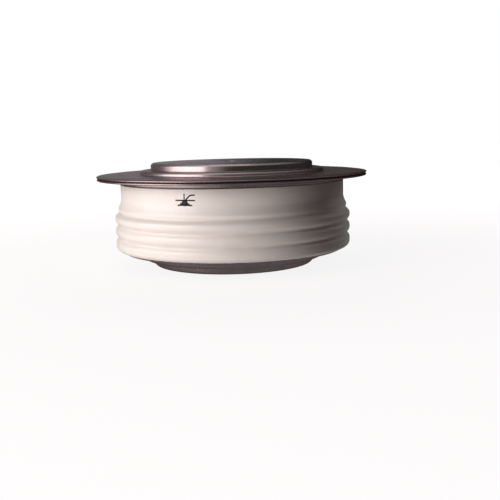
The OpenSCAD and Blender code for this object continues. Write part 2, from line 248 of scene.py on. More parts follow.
def addPanel(name, azimuth, elevation, width, height, brightness, color):
    data = bpy.data.lights.new(name, "AREA")
    data.shape = "RECTANGLE"
    data.size, data.size_y = width, height
    data.energy = brightness * math.pi * width * height
    data.color = color
    rise = math.radians(elevation)
    away = outwards(azimuth) * math.cos(rise) + Vector((0, 0, math.sin(rise)))
    lamp = newObject(name, data)
    lamp.location = panelDistance * away + Vector((0, 0, panelTarget))
    lamp.rotation_euler = (-away).to_track_quat("-Z", "Y").to_euler()
    lamp.visible_glossy = name not in mattOnly
    lamp.visible_camera = False


# A grey wall that only mirrors see, open where the key panels stand, in metres: each tone is an azimuth
# with the brightness at the four levels
surround = {
    "radius": 0.125, "height": 0.45, "rows": 45, "step": 4, "levels": (0.0, 0.045, 0.1, 0.2),
    "tones": [
        (96, 0.3, 0.3, 0.25, 0.6), (135, 0.3, 0.3, 0.3, 0.6), (160, 0.5, 0.4, 0.25, 0.5),
        (174, 0.5, 0.45, 0.3, 0.5), (182, 0.3, 0.14, 0.06, 0.2), (188, 0.12, 0.03, 0.02, 0.1),
        (192, 0.1, 0.02, 0.02, 0.08), (198, 0.2, 0.12, 0.03, 0.08), (203, 0.2, 0.12, 0.03, 0.08),
        (212, 0.1, 0.04, 0.04, 0.15), (240, 0.05, 0.06, 0.18, 0.4), (330, 0.04, 0.06, 0.2, 0.5),
        (366, 0.05, 0.07, 0.2, 0.5), (376, 0.5, 0.4, 0.3, 0.5), (394, 0.9, 0.6, 0.4, 0.5),
    ],
}


def between(stops, place):
    # the tone at this place on a line through stops, each a place and its tone
    for (first, low), (second, high) in zip(stops, stops[1:]):
        if place <= second:
            return low + (high - low) * max(0, (place - first) / (second - first))
    return stops[-1][1]


def toneAt(azimuth, height):
    levels, tones = surround["levels"], surround["tones"]
    column = [between([(row[0], row[i]) for row in tones], azimuth) for i in range(1, len(levels) + 1)]
    return between(list(zip(levels, column)), height)


def addSurround():
    first, last = surround["tones"][0][0], surround["tones"][-1][0]
    columns, rows = round((last - first) / surround["step"]), surround["rows"]
    corners, tones, faces = [], [], []
    for row in range(rows + 1):
        for column in range(columns + 1):
            azimuth, level = first + (last - first) * column / columns, row / rows
            foot = surround["radius"] * outwards(azimuth)
            corners.append(foot + Vector((0, 0, surround["height"] * level)))
            tones.append(toneAt(azimuth, level * surround["height"]))
            if row and column:
                here = row * (columns + 1) + column
                faces.append((here - columns - 2, here - columns - 1, here, here - 1))
    mesh = bpy.data.meshes.new("greySurround")
    mesh.from_pydata(corners, [], faces)
    mesh.attributes.new("tone", "FLOAT", "POINT").data.foreach_set("value", tones)
    material = bpy.data.materials.new("greySurround")
    tree = emptyTree(material)
    tone = addNode(tree, "ShaderNodeAttribute", attribute_name="tone").outputs["Fac"]
    shine = addNode(tree, "ShaderNodeEmission", {"Color": (1, 1, 1, 1), "Strength": tone})
    addNode(tree, "ShaderNodeOutputMaterial", {"Surface": shine.outputs[0]})
    mesh.materials.append(material)
    wall = newObject("greySurround", mesh)
    wall.visible_camera = wall.visible_diffuse = wall.visible_shadow = False


addFloor()
addWorld()
for panelName, panel in panels.items():
    addPanel(panelName, *panel)
addSurround()
print("studio ready")


# Shared effects for the materials. Points are in millimetres, and round patterns turn about Z.
def effectGroup(name, inputs, outputs=("Mask",)):
    # a shader group that reads a point and the given numbers
    sockets = {"Point": ("Vector", None), **{label: ("Float", value) for label, value in inputs.items()}}
    return nodeGroup(name, "ShaderNodeTree", sockets, {label: "Float" for label in outputs})


def effectNode(tree, name, point, **values):
    node = addNode(tree, "ShaderNodeGroup", node_tree=bpy.data.node_groups[name])
    setSocket(tree, node.inputs["Point"], point)
    for label, value in values.items():
        setSocket(tree, node.inputs[label.capitalize()], value)
    return node


def effect(tree, *values, **settings):
    return effectNode(tree, *values, **settings).outputs[0]


def roundPlaceGroup():
    tree, given, wanted = effectGroup("roundPlace", {}, ("Radius", "Height", "Across", "Along"))
    flat, radius = flatPlace(tree, given["Point"])
    sides = split(tree, vectorCalc(tree, "NORMALIZE", flat))
    for socket, value in zip(wanted, (radius, split(tree, given["Point"])[2], sides[0], sides[1])):
        setSocket(tree, socket, value)


def turningMarksGroup():
    # lathe marks: fine across the radius and the height, and slowly changing round the piece
    tree, given, wanted = effectGroup("turningMarks", {"Fineness": 6.0, "Drift": 1.0}, ("Marks",))
    place = effectNode(tree, "roundPlace", given["Point"]).outputs
    across, up = (times(tree, place[label], given["Fineness"]) for label in ("Radius", "Height"))
    around, other = (times(tree, place[label], given["Drift"]) for label in ("Across", "Along"))
    marks = noiseAt(tree, combine(tree, across, up, around), 1.0, 3.0, {"W": other}, noise_dimensions="4D")
    setSocket(tree, wanted["Marks"], marks)


def smudgesGroup():
    # soft patches left by hands and ageing
    tree, given, wanted = effectGroup("smudges", {"Size": 6.0, "Cover": 0.5})
    scale = divide(tree, 1.0, given["Size"])
    patches = noiseAt(tree, given["Point"], scale, 4.0, {"Roughness": 0.6, "Distortion": 0.6})
    low = minus(tree, 0.78, times(tree, given["Cover"], 0.6))
    setSocket(tree, wanted["Mask"], remap(tree, patches, low, plus(tree, low, 0.22), smooth=True))


def hairlinesGroup():
    # fine straight scratches in three directions, broken up by patches
    tree, given, wanted = effectGroup("hairlines", {"Spacing": 1.0, "Width": 0.02})
    scale = divide(tree, 1.0, given["Spacing"])
    total = 0.0
    for index, angle in enumerate((0.35, 1.4, 2.5)):
        turned = {"Vector": given["Point"], "Angle": angle}
        turned = addNode(tree, "ShaderNodeVectorRotate", turned, rotation_type="Z_AXIS")
        shift = (7.3 * index, 3.1, 5.7)  # so that the three directions differ
        stretched = vectorCalc(tree, "MULTIPLY_ADD", turned.outputs[0], (0.06, 1.0, 0.4), shift)
        away = calc(tree, "ABSOLUTE", minus(tree, noiseAt(tree, stretched, scale, 0.0), 0.5))
        total = calc(tree, "MAXIMUM", total, remap(tree, away, 0.0, given["Width"], 1.0, 0.0))
    shown = remap(tree, noiseAt(tree, given["Point"], 0.35, 2.0), 0.48, 0.62, smooth=True)
    setSocket(tree, wanted["Mask"], times(tree, total, shown))


def specksGroup():
    # scattered small specks, each in its own cell
    tree, given, wanted = effectGroup("specks", {"Spacing": 3.0, "Size": 0.1, "Share": 0.3})
    scale = divide(tree, 1.0, given["Spacing"])
    cells = addNode(tree, "ShaderNodeTexVoronoi", {"Vector": given["Point"], "Scale": scale})
    reach = times(tree, cells.outputs["Distance"], given["Spacing"])
    dot = remap(tree, reach, times(tree, given["Size"], 0.5), given["Size"], 1.0, 0.0, smooth=True)
    chance = addNode(tree, "ShaderNodeSeparateColor", {0: cells.outputs["Color"]}).outputs[0]
    shown = calc(tree, "LESS_THAN", chance, given["Share"])
    setSocket(tree, wanted["Mask"], times(tree, dot, shown))


def ringLineGroup():
    # a soft line round the piece at one radius and height, for worn edges and stains
    tree, given, wanted = effectGroup("ringLine", {"Radius": 10.0, "Height": 0.0, "Width": 0.5})
    place = effectNode(tree, "roundPlace", given["Point"]).outputs
    here = combine(tree, place["Radius"], place["Height"], 0)
    there = combine(tree, given["Radius"], given["Height"], 0)
    away = vectorCalc(tree, "DISTANCE", here, there, output="Value")
    setSocket(tree, wanted["Mask"], remap(tree, away, 0.0, given["Width"], 1.0, 0.0, smooth=True))


for build in (roundPlaceGroup, turningMarksGroup, smudgesGroup, hairlinesGroup, specksGroup, ringLineGroup):
    build()


def newMaterial(name, metallic, roughness):
    material = bpy.data.materials.new(name)
    material.use_nodes = True
    bsdf = material.node_tree.nodes["Principled BSDF"]
    bsdf.inputs["Metallic"].default_value = metallic
    bsdf.inputs["Roughness"].default_value = roughness
    return material, material.node_tree, bsdf


def millimetrePoint(tree, centre=(0, 0, 0), turn=(0, 0, 0)):
    place = addNode(tree, "ShaderNodeTexCoord").outputs["Object"]
    inputs = {"Vector": place, "Location": [value * mm for value in centre], "Scale": (mm, mm, mm)}
    inputs["Rotation"] = [math.radians(angle) for angle in turn]
    return addNode(tree, "ShaderNodeMapping", inputs, vector_type="TEXTURE").outputs[0]


def blend(tree, share, under, over, kind="MIX"):
    node = addNode(tree, "ShaderNodeMix", data_type="RGBA", blend_type=kind)
    setSocket(tree, node.inputs[0], share)
    for socket, value in ((node.inputs[6], under), (node.inputs[7], over)):
        setSocket(tree, socket, value if isinstance(value, bpy.types.NodeSocket) else (*value, 1))
    return node.outputs[2]


def bumpFrom(tree, height, depth):
    # depth is the height of a full step, in millimetres
    inputs = {"Height": height, "Strength": 1.0, "Distance": depth * mm}
    return addNode(tree, "ShaderNodeBump", inputs).outputs[0]


def dress(tree, bsdf, color, rough, normal, edgeTint=(1, 1, 1)):
    look = {"Base Color": color, "Roughness": rough, "Normal": normal, "Specular Tint": (*edgeTint, 1)}
    for label, value in look.items():
        setSocket(tree, bsdf.inputs[label], value)


def turnedMetal(name, look, stains=()):
    material, tree, bsdf = newMaterial(name, 1.0, look["rough"])
    point = millimetrePoint(tree)
    marks = effect(tree, "turningMarks", point, fineness=look["fineness"], drift=look["drift"])
    smudge = effect(tree, "smudges", point, size=look["smudgeSize"], cover=look["smudgeCover"])
    hair = effect(tree, "hairlines", point, spacing=look["hairSpacing"], width=look["hairWidth"])
    spotSizes = {"spacing": look["spotSpacing"], "size": look["spotSize"], "share": look["spotShare"]}
    spots = effect(tree, "specks", point, **spotSizes)
    color = blend(tree, times(tree, smudge, look["smudge"]), look["color"], look["tarnish"])
    tone = remap(tree, marks, 0.3, 0.7, 1 - look["toneSpread"], 1 + look["toneSpread"])
    color = blend(tree, 1.0, color, combine(tree, tone, tone, tone), "MULTIPLY")
    color = blend(tree, times(tree, hair, look["hair"]), color, look["bright"])
    color = blend(tree, times(tree, spots, look["spots"]), color, look["tarnish"])
    for stain in stains:
        place = {label: stain[label] for label in ("radius", "height", "width")}
        ring = effect(tree, "ringLine", point, **place)
        color = blend(tree, times(tree, ring, stain["share"]), color, stain["color"])
    rough = plus(tree, look["rough"], times(tree, smudge, look["smudgeRough"]))
    rough = plus(tree, rough, times(tree, minus(tree, marks, 0.5), look["markRough"]))
    relief = plus(tree, marks, times(tree, hair, -look["hairDepth"]))
    dress(tree, bsdf, color, rough, bumpFrom(tree, relief, look["depth"]), look["edgeTint"])
    return material


# Nickel plating, seen as dark grey-brown under the studio's white
plating = {
    "color": (0.37, 0.3, 0.305), "tarnish": (0.24, 0.185, 0.18), "bright": (0.56, 0.49, 0.48),
    "edgeTint": (0.55, 0.47, 0.51), "rough": 0.24, "fineness": 5.0, "drift": 2.0, "depth": 0.0025,
    "toneSpread": 0.08, "markRough": 0.10, "smudgeSize": 7.0, "smudgeCover": 0.5, "smudge": 0.35,
    "smudgeRough": 0.07, "hairSpacing": 1.3, "hairWidth": 0.012, "hair": 0.25, "hairDepth": 0.5,
    "spotSpacing": 3.0, "spotSize": 0.12, "spotShare": 0.35, "spots": 0.6,
}
# browning along the weld, and dirt with painted shade in the centring holes
heatTint = {"radius": 36.4, "height": 24.0, "width": 1.6, "share": 0.25, "color": (0.26, 0.17, 0.12)}
holeShadeAndDirt = {"radius": 0.0, "width": 3.0, "share": 1.0, "color": (0.03, 0.024, 0.022)}
holes = [{**holeShadeAndDirt, "height": 25.5}, {**holeShadeAndDirt, "height": 2.0}]
polePlating = turnedMetal("polePlating", plating, stains=holes)
sheetPlating = turnedMetal("sheetPlating", {**plating, "rough": 0.27, "fineness": 3.0}, stains=[heatTint])

# White glaze; a darkened line is a height, a width and a share: grime and painted shade in the three
# grooves, and painted shade under the collar
glazeLook = {
    "color": (0.86, 0.814, 0.782), "patch": (0.82, 0.768, 0.73), "shadeAndGrime": (0.5, 0.42, 0.36),
    "shadeAndGrimeLines": [(7.975, 0.8, 0.3), (11.325, 0.8, 0.3), (14.675, 0.8, 0.3), (22.4, 2.8, 0.25)],
    "speck": (0.25, 0.2, 0.17), "rough": 0.28, "patchRough": 0.06, "patchShare": 0.6, "speckShare": 0.7,
    "waveScale": 0.9, "waveDepth": 0.02,
}


def glazedCeramic(name, look):
    material, tree, bsdf = newMaterial(name, 0.0, look["rough"])
    point = millimetrePoint(tree)
    patches = effect(tree, "smudges", point, size=9.0)
    specks = effect(tree, "specks", point, spacing=4.0, size=0.09, share=0.25)
    color = blend(tree, times(tree, patches, look["patchShare"]), look["color"], look["patch"])
    height = split(tree, point)[2]
    # each line darkens the glaze: grime and painted shade in the grooves, painted shade under the collar
    for line, width, share in look["shadeAndGrimeLines"]:
        away = calc(tree, "ABSOLUTE", minus(tree, height, line))
        shadeAndGrimeShare = remap(tree, away, width, 0.0, 0.0, share, smooth=True)
        uneven = times(tree, shadeAndGrimeShare, remap(tree, patches, 0.0, 1.0, 0.7, 1.0))
        color = blend(tree, uneven, color, look["shadeAndGrime"])
    color = blend(tree, times(tree, specks, look["speckShare"]), color, look["speck"])
    rough = remap(tree, patches, 0, 1, look["rough"], look["rough"] + look["patchRough"])
    waves = noiseAt(tree, point, look["waveScale"], 2.0)
    dress(tree, bsdf, color, rough, bumpFrom(tree, waves, look["waveDepth"]))
    return material


glaze = glazedCeramic("glazedAlumina", glazeLook)

# What the small metal pieces share
smallMetal = {
    "drift": 1.5, "stainSize": 2.5, "stainShare": 0.5, "stainTone": 0.72, "roughSpread": (-0.06, 0.08),
}


def plainMetal(name, color, rough, grain, depth=0.002, edgeTint=(1, 1, 1), **axis):
    # a small metal piece: fine grain, a few stains
    material, tree, bsdf = newMaterial(name, 1.0, rough)
    point = millimetrePoint(tree, **axis)
    marks = effect(tree, "turningMarks", point, fineness=grain, drift=smallMetal["drift"])
    stain = effect(tree, "smudges", point, size=smallMetal["stainSize"])
    dark = [value * smallMetal["stainTone"] for value in color]
    base = blend(tree, times(tree, stain, smallMetal["stainShare"]), color, dark)
    unevenRough = remap(tree, marks, 0.3, 0.7, *(rough + step for step in smallMetal["roughSpread"]))
    dress(tree, bsdf, base, unevenRough, bumpFrom(tree, marks, depth), edgeTint)
    return material


def mouldedPiece(name, color, rough, mottle, depth):
    # plastic or rubber: slight mottle in the colour, fine unevenness from the mould
    material, tree, bsdf = newMaterial(name, 0.0, rough)
    point = millimetrePoint(tree)
    patch = effect(tree, "smudges", point, size=3.0)
    dark = [value * (1 - mottle) for value in color]
    grain = noiseAt(tree, point, 4.0, 3.0)
    unevenRough = remap(tree, grain, 0.3, 0.7, rough - 0.05, rough + 0.07)
    dress(tree, bsdf, blend(tree, patch, color, dark), unevenRough, bumpFrom(tree, grain, depth))
    return material


# The gate terminal is turned about its own axis, which lies along Y
gateHeight = 18.9
gateAxis = {"centre": (0, 0, gateHeight), "turn": (90, 0, 0)}
tinned = plainMetal("tinnedTerminal", (0.62, 0.6, 0.56), 0.3, 9.0, **gateAxis)
molybdenum = plainMetal("groundMolybdenum", (0.4, 0.41, 0.43), 0.34, 7.0, 0.004)
silicon = plainMetal("polishedSilicon", (0.2, 0.215, 0.24), 0.1, 1.0, 0.0005)
springMetal = plainMetal("drawnSpringMetal", (0.55, 0.55, 0.56), 0.25, 4.0)
goldPlating = plainMetal("goldPlating", (0.83, 0.62, 0.27), 0.24, 8.0)
silverWire = plainMetal("silverWire", (0.78, 0.77, 0.73), 0.22, 5.0)
whitePlastic = mouldedPiece("whitePlastic", (0.82, 0.81, 0.78), 0.42, 0.06, 0.01)
sealRubber = mouldedPiece("siliconeRubber", (0.36, 0.12, 0.08), 0.6, 0.15, 0.02)

finishes = [
    (glaze, "ceramic_housing"),
    (polePlating, "cathode_pole", "anode_pole"),
    (sheetPlating, "cathode_flange", "weld_ring", "anode_flange"),
    (tinned, "gate_eyelet", "gate_tube", "gate_pin"),
    (silverWire, "gate_lead"),
    (whitePlastic, "lead_sleeve", "gate_insulator", "centring_ring"),
    (springMetal, "spring_seat", "gate_spring"),
    (goldPlating, "gate_contact"),
    (molybdenum, "cathode_disc", "anode_disc"),
    (silicon, "silicon_wafer"),
    (sealRubber, "edge_seal"),
]
for material, *nodeNames in finishes:
    for nodeName in nodeNames:
        for slot in nodes[nodeName].material_slots:
            slot.material = material
print("materials ready")


# Pieces that Geometry Nodes turn from an outline; axisGap and merge are in metres
turning = {"turnSteps": 192, "bendSteps": 5, "sharpAngle": 38, "axisGap": 2e-6, "merge": 2e-7}
rimWave = {"height": 0.09, "size": 16.0, "start": 30.6, "end": 36.5, "droop": 0.08, "lean": 0.5}


def outlineMesh(name, outline):
    # radius along X and height along minus Y; it closes unless it starts on the axis
    mesh = bpy.data.meshes.new(name)
    count = len(outline)
    last = count - 1 if outline[0][0] == 0 else count
    mesh.from_pydata(
        [(r * mm, -z * mm, 0) for r, z, *_ in outline], [(i, (i + 1) % count) for i in range(last)], []
    )
    bend = mesh.attributes.new("bend", "FLOAT", "POINT")
    bend.data.foreach_set("value", [(corner[2] if len(corner) > 2 else 0) * mm for corner in outline])
    return mesh


def shapeStep(tree, kind, inputs=None, **settings):
    return addNode(tree, "GeometryNode" + kind, inputs, **settings).outputs[0]


def spoken(key):
    # grooveDepth becomes Groove Depth, the name of the tree's input
    return "".join(" " + letter if letter.isupper() else letter for letter in key).title()


def shapeTree(name, inputs, start=None):
    # inputs are lengths in metres and whole numbers, and start names the mesh that the tree begins with
    sockets = {start: ("Geometry", None)} if start else {}
    for key, value in inputs.items():
        sockets[spoken(key)] = ("Int" if isinstance(value, int) else "Float", value)
    sockets["Material"] = ("Material", None)
    return nodeGroup(name, "GeometryNodeTree", sockets, {"Result": "Geometry"})


def rounded(tree, line, steps):
    # bends the corners of an outline, each by the radius stored with it
    bend = shapeStep(tree, "InputNamedAttribute", {"Name": "bend"}, data_type="FLOAT")
    corners = {"Curve": line, "Count": steps, "Radius": bend, "Limit Radius": True}
    return shapeStep(tree, "FilletCurve", corners, mode="POLY")


def circle(tree, steps, radius):
    return shapeStep(tree, "CurvePrimitiveCircle", {"Resolution": steps, "Radius": radius})


def sweep(tree, path, section, **more):
    return shapeStep(tree, "CurveToMesh", {"Curve": path, "Profile Curve": section, **more})


def carriedRound(tree, line, steps):
    # one turn of the outline about Z, round a tiny circle that tidyMesh closes to the axis
    return sweep(tree, circle(tree, steps, turning["axisGap"]), line)


def endTree(tree, given, wanted, shape):
    whole = shapeStep(tree, "RealizeInstances", {"Geometry": shape})
    last = {"Geometry": whole, "Material": given["Material"]}
    setSocket(tree, wanted[0], shapeStep(tree, "SetMaterial", last))
    return tree


rimInputs = {
    "waveHeight": 0.0, "waveSize": rimWave["size"] * mm, "waveStart": rimWave["start"] * mm,
    "waveEnd": rimWave["end"] * mm, "droop": 0.0, "lean": rimWave["lean"],
}


def rimLift(tree, given):
    # the thin rim is never quite flat
    flat, radius = flatPlace(tree, shapeStep(tree, "InputPosition"))
    noise = noiseAt(tree, flat, divide(tree, 1.0, given["Wave Size"]), 1.0)
    share = remap(tree, radius, given["Wave Start"], given["Wave End"], smooth=True)
    lift = times(tree, minus(tree, noise, 0.5), times(tree, share, 2.0))
    lift = times(tree, lift, given["Wave Height"])
    # and it hangs a little, more on one side
    side = times(tree, divide(tree, split(tree, flat)[0], given["Wave End"]), given["Lean"])
    outer = remap(tree, radius, given["Wave Start"], given["Wave End"])
    hang = times(tree, times(tree, outer, outer), minus(tree, 1.0, side))
    lift = minus(tree, lift, times(tree, hang, given["Droop"]))
    return combine(tree, 0, 0, lift)


def turnedPartTree():
    steps = {"turnSteps": turning["turnSteps"], "bendSteps": turning["bendSteps"]}
    tree, given, wanted = shapeTree("turnedPart", {**steps, **rimInputs}, "Outline")
    line = shapeStep(tree, "MeshToCurve", {"Mesh": given["Outline"]})
    part = carriedRound(tree, rounded(tree, line, given["Bend Steps"]), given["Turn Steps"])
    part = shapeStep(tree, "SetPosition", {"Geometry": part, "Offset": rimLift(tree, given)})
    return endTree(tree, given, wanted, part)


# Ribbed ceramic ring: the ribs follow the same rule as the solid
ribs = {
    "boreRadius": 27.0, "neckRadius": 30.3, "ribOut": 1.7, "lowestCrest": 6.3, "highestCrest": 16.35,
    "groovePitch": 3.35, "grooveDepth": 0.65, "flareBottom": 13.1, "flareHeight": 5.2, "footBend": 1.2,
    "neckBend": 0.25, "gateHoleRadius": 1.445, "gateSeatRadius": 2.945, "gateSeatPlace": 29.8,
}
ribSteps = {"heightSteps": 110, "cornerSteps": 6, "drillSides": 64}
drillReach = (0.02, 0.04)  # in metres from the axis, through the wall
narrowness = 4.0  # of the grooves: the higher, the wider are the ribs between them


def ribbedRingTree():
    lengths = {key: 0.0 for key in ("bottom", "top", "gateHeight", *ribs)}
    steps = {"turnSteps": turning["turnSteps"], "heightSteps": ribSteps["heightSteps"]}
    tree, given, wanted = shapeTree("ribbedRing", {**steps, **lengths, "narrowness": narrowness})
    steps = given["Height Steps"]
    line = shapeStep(tree, "MeshLine", {"Count": plus(tree, steps, 4)})
    index = shapeStep(tree, "InputIndex")
    flareTop = plus(tree, given["Flare Bottom"], given["Flare Height"])
    climb = divide(tree, minus(tree, index, 1), minus(tree, steps, 1))
    height = remap(tree, climb, 0.0, 1.0, given["Lowest Crest"], flareTop)
    # the ribs' own rule: a smooth flare out of the neck, and narrow grooves at an even pitch below it
    climbed = minus(tree, height, given["Flare Bottom"])
    flare = calc(tree, "DIVIDE", climbed, given["Flare Height"], clamp=True)
    share = calc(tree, "MULTIPLY_ADD", calc(tree, "COSINE", times(tree, flare, math.pi)), 0.5, 0.5)
    above = minus(tree, height, given["Lowest Crest"])
    phase = times(tree, divide(tree, above, given["Groove Pitch"]), math.pi)
    notch = calc(tree, "POWER", calc(tree, "ABSOLUTE", calc(tree, "SINE", phase)), given["Narrowness"])
    grooved = calc(tree, "LESS_THAN", height, given["Highest Crest"])
    cut = times(tree, times(tree, notch, grooved), given["Groove Depth"])
    radius = plus(tree, given["Neck Radius"], times(tree, share, given["Rib Out"]))
    radius = minus(tree, radius, cut)

    def atCorner(steps, offset, value, otherwise):
        here = calc(tree, "COMPARE", index, plus(tree, steps, offset), 0.5)
        choice = {"Switch": here, "False": otherwise, "True": value}
        return shapeStep(tree, "Switch", choice, input_type="FLOAT")

    foot = plus(tree, given["Neck Radius"], given["Rib Out"])
    corners = [
        (0, 0, foot, given["Bottom"], given["Foot Bend"]),
        (steps, 1, given["Neck Radius"], given["Top"], given["Neck Bend"]),
        (steps, 2, given["Bore Radius"], given["Top"], given["Neck Bend"]),
        (steps, 3, given["Bore Radius"], given["Bottom"], given["Neck Bend"]),
    ]
    bend = 0.0
    for first, offset, cornerRadius, cornerHeight, cornerBend in corners:
        radius = atCorner(first, offset, cornerRadius, radius)
        height = atCorner(first, offset, cornerHeight, height)
        bend = atCorner(first, offset, cornerBend, bend)
    place = combine(tree, radius, times(tree, height, -1), 0)
    line = shapeStep(tree, "SetPosition", {"Geometry": line, "Position": place})
    stored = {"Geometry": line, "Name": "bend", "Value": bend}
    line = shapeStep(tree, "StoreNamedAttribute", stored, data_type="FLOAT")
    line = shapeStep(tree, "MeshToCurve", {"Mesh": line})
    line = shapeStep(tree, "SetSplineCyclic", {"Geometry": line, "Cyclic": True})
    ring = carriedRound(tree, rounded(tree, line, ribSteps["cornerSteps"]), given["Turn Steps"])
    ring = shapeStep(tree, "FlipFaces", {"Mesh": ring})
    # the way through the wall for the gate, with a flat seat outside it
    near, far = drillReach
    for drill, start in (("Gate Hole Radius", near), ("Gate Seat Radius", given["Gate Seat Place"])):
        rod = {"Vertices": ribSteps["drillSides"], "Radius": given[drill], "Depth": minus(tree, far, start)}
        rod = {"Geometry": shapeStep(tree, "MeshCylinder", rod), "Rotation": (math.pi / 2, 0, 0)}
        middle = times(tree, plus(tree, far, start), 0.5)
        rod["Translation"] = combine(tree, 0, middle, given["Gate Height"])
        pair = {"Mesh 1": ring, "Mesh 2": shapeStep(tree, "Transform", rod)}
        ring = shapeStep(tree, "MeshBoolean", pair, operation="DIFFERENCE", solver="EXACT")
    return endTree(tree, given, wanted, ring)


def settle(piece, modifier):
    # keeps the modifier's result as a plain mesh
    shape = bpy.data.meshes.new_from_object(piece.evaluated_get(bpy.context.evaluated_depsgraph_get()))
    piece.modifiers.remove(modifier)
    piece.data = shape


def grow(name, tree, material, start=None, **inputs):
    # lets the tree make the piece, then keeps it as a plain mesh at the origin
    piece = newObject(name, start or bpy.data.meshes.new(name))
    modifier = piece.modifiers.new("growth", "NODES")
    modifier.node_group = tree
    values = {"Material": material, **{spoken(key): value for key, value in inputs.items()}}
    for item in tree.interface.items_tree:
        if item.item_type == "SOCKET" and item.in_out == "INPUT" and item.name in values:
            modifier[item.identifier] = values[item.name]
    settle(piece, modifier)
    piece.data.name = name
    return piece


def inMetres(lengths):
    return {key: value * mm for key, value in lengths.items()}


def tidyMesh(piece):
    # closes the seam and the axis, turns every face outwards and shades the edges
    work = bmesh.new()
    work.from_mesh(piece.data)
    for corner in work.verts:
        if math.hypot(corner.co.x, corner.co.y) < 1.5 * turning["axisGap"]:
            corner.co.x = corner.co.y = 0
    bmesh.ops.remove_doubles(work, verts=work.verts, dist=turning["merge"])
    bmesh.ops.dissolve_degenerate(work, edges=work.edges, dist=turning["merge"])
    loose = [edge for edge in work.edges if not edge.link_faces]
    bmesh.ops.delete(work, geom=loose, context="EDGES")
    bmesh.ops.recalc_face_normals(work, faces=work.faces)
    work.to_mesh(piece.data)
    work.free()
    piece.data.shade_smooth()
    piece.data.set_sharp_from_angle(angle=math.radians(turning["sharpAngle"]))


def onCapsule(piece, slot, *replaced):
    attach(piece, "root")
    if replaced:
        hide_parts(*replaced)


turnedPart = turnedPartTree()


def turnPiece(name, outline, material, slot, *replaced, turn=None, **lift):
    piece = grow(name, turnedPart, material, outlineMesh(name, outline), **inMetres(lift))
    if turn:
        piece.data.transform(turn)
    tidyMesh(piece)
    onCapsule(piece, slot, *replaced)
    return piece


def edges(nodeName):
    # outer radius, lowest and highest point of a node, in millimetres
    low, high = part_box(nodeName)
    return high[0] / mm, low[2] / mm, high[2] / mm


# Formed sheets: rim, raised land and collar, with the bends of a press tool
sheet = {
    "thickness": 0.6, "landRadius": 25.0, "boreRadius": 22.03, "bendIn": 0.3, "bendOut": 0.75,
    "landRise": 1.0, "footRadius": 27.9, "neckRadius": 30.3, "anodeFoot": 30.0, "landFoot": 27.5,
    "rimSteps": (30.4, 31.2, 32, 33, 34, 35), "flatEnd": 35.4, "rimThinning": 0.12, "lipStep": 0.08,
    "lipCut": 0.6, "lipOpen": 0.22,
}
rimShape = {"waveHeight": rimWave["height"], "droop": rimWave["droop"]}


def addSheets():
    t, land, bore = sheet["thickness"], sheet["landRadius"], sheet["boreRadius"]
    bendIn, bendOut, landFoot = sheet["bendIn"], sheet["bendOut"], sheet["landFoot"]
    rimSteps, cut, opening = sheet["rimSteps"], sheet["lipCut"], sheet["lipOpen"]
    rim, low, high = edges("cathode_flange")
    outline = [
        (bore, high - t, 0.05), (land - t, high - t, 0.15), (land - t, low, 0.6), (landFoot, low),
        *((r, low) for r in rimSteps), (rim - cut, low, 0.1), (rim, low + opening, 0.12),
        (rim, high - sheet["landRise"] - sheet["rimThinning"], 0.2), (sheet["flatEnd"], low + t, 1.2),
        *((r, low + t) for r in reversed(rimSteps[:-1])), (landFoot, low + t), (land, low + t, bendIn),
        (land, high, bendOut), (bore, high, 0.08),
    ]
    turnPiece("cathodeFlange", outline, sheetPlating, "plated_sheet", "cathode_flange", **rimShape)
    rim, low, high = edges("weld_ring")
    foot, neck, lip = sheet["footRadius"], sheet["neckRadius"], rim - sheet["lipStep"]
    outline = [
        (foot, low, 0.05), (neck, low, 0.3), (neck, high - t, 0.3), *((r, high - t) for r in rimSteps[1:]),
        (lip, high - t, 0.2), (lip, high - opening, 0.12), (lip - cut, high, 0.1),
        *((r, high) for r in reversed(rimSteps[1:])), (neck - t, high, 0.75), (neck - t, low + t, 0.1),
        (foot, low + t, 0.05),
    ]
    turnPiece("weldRing", outline, sheetPlating, "plated_sheet", "weld_ring", **rimShape)
    foot, (low, high) = sheet["anodeFoot"], edges("anode_flange")[1:]
    outline = [
        (bore, low, 0.08), (land, low, bendOut), (land, high - t, bendIn), (foot, high - t, 0.15),
        (foot, high, 0.15), (land - t, high, 0.6), (land - t, low + t, 0.15), (bore, low + t, 0.05),
    ]
    turnPiece("anodeFlange", outline, sheetPlating, "plated_sheet", "anode_flange")


addSheets()
print("formed sheets ready")


def addCeramic():
    low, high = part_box("ceramic_housing")
    places = {"bottom": low[2], "top": high[2], "gateHeight": gateHeight * mm}
    ring = grow("ribbedRing", ribbedRingTree(), glaze, **places, **inMetres(ribs))
    tidyMesh(ring)
    onCapsule(ring, "glazed_alumina", "ceramic_housing")


addCeramic()
print("ceramic ready")

# Copper poles, plated: a flat lapped face with a small centring hole, and a rounded edge
pole = {
    "faceRadius": 22.0, "bodyRadius": 23.2, "edge": 0.5, "hole": 1.75, "holeDepth": 2.0, "holeEdge": 0.3,
    "shoulder": 2.5,
}
gateBore = {
    "radius": 4.0, "top": 22.6, "bossRadius": 20.0, "bossHeight": 2.0, "slotHalf": 1.2, "slotEnd": 24.2,
    "slotTop": 17.0,
}


def faceOutline(level, inwards):
    # from the middle of the face outwards; inwards is +1 or -1, the way into the metal
    hole, holeEdge, edge, face = pole["hole"], pole["holeEdge"], pole["edge"], pole["faceRadius"]
    deep, shoulder = level + pole["holeDepth"] * inwards, level + pole["shoulder"] * inwards
    return [
        (0, deep), (hole, deep, 0.1), (hole, level + holeEdge * inwards, 0.1),
        (hole + holeEdge, level, 0.1), (face - edge, level, 0.3), (face, level + edge * inwards, 0.3),
        (face, shoulder), (pole["bodyRadius"], shoulder, 0.15),
    ]


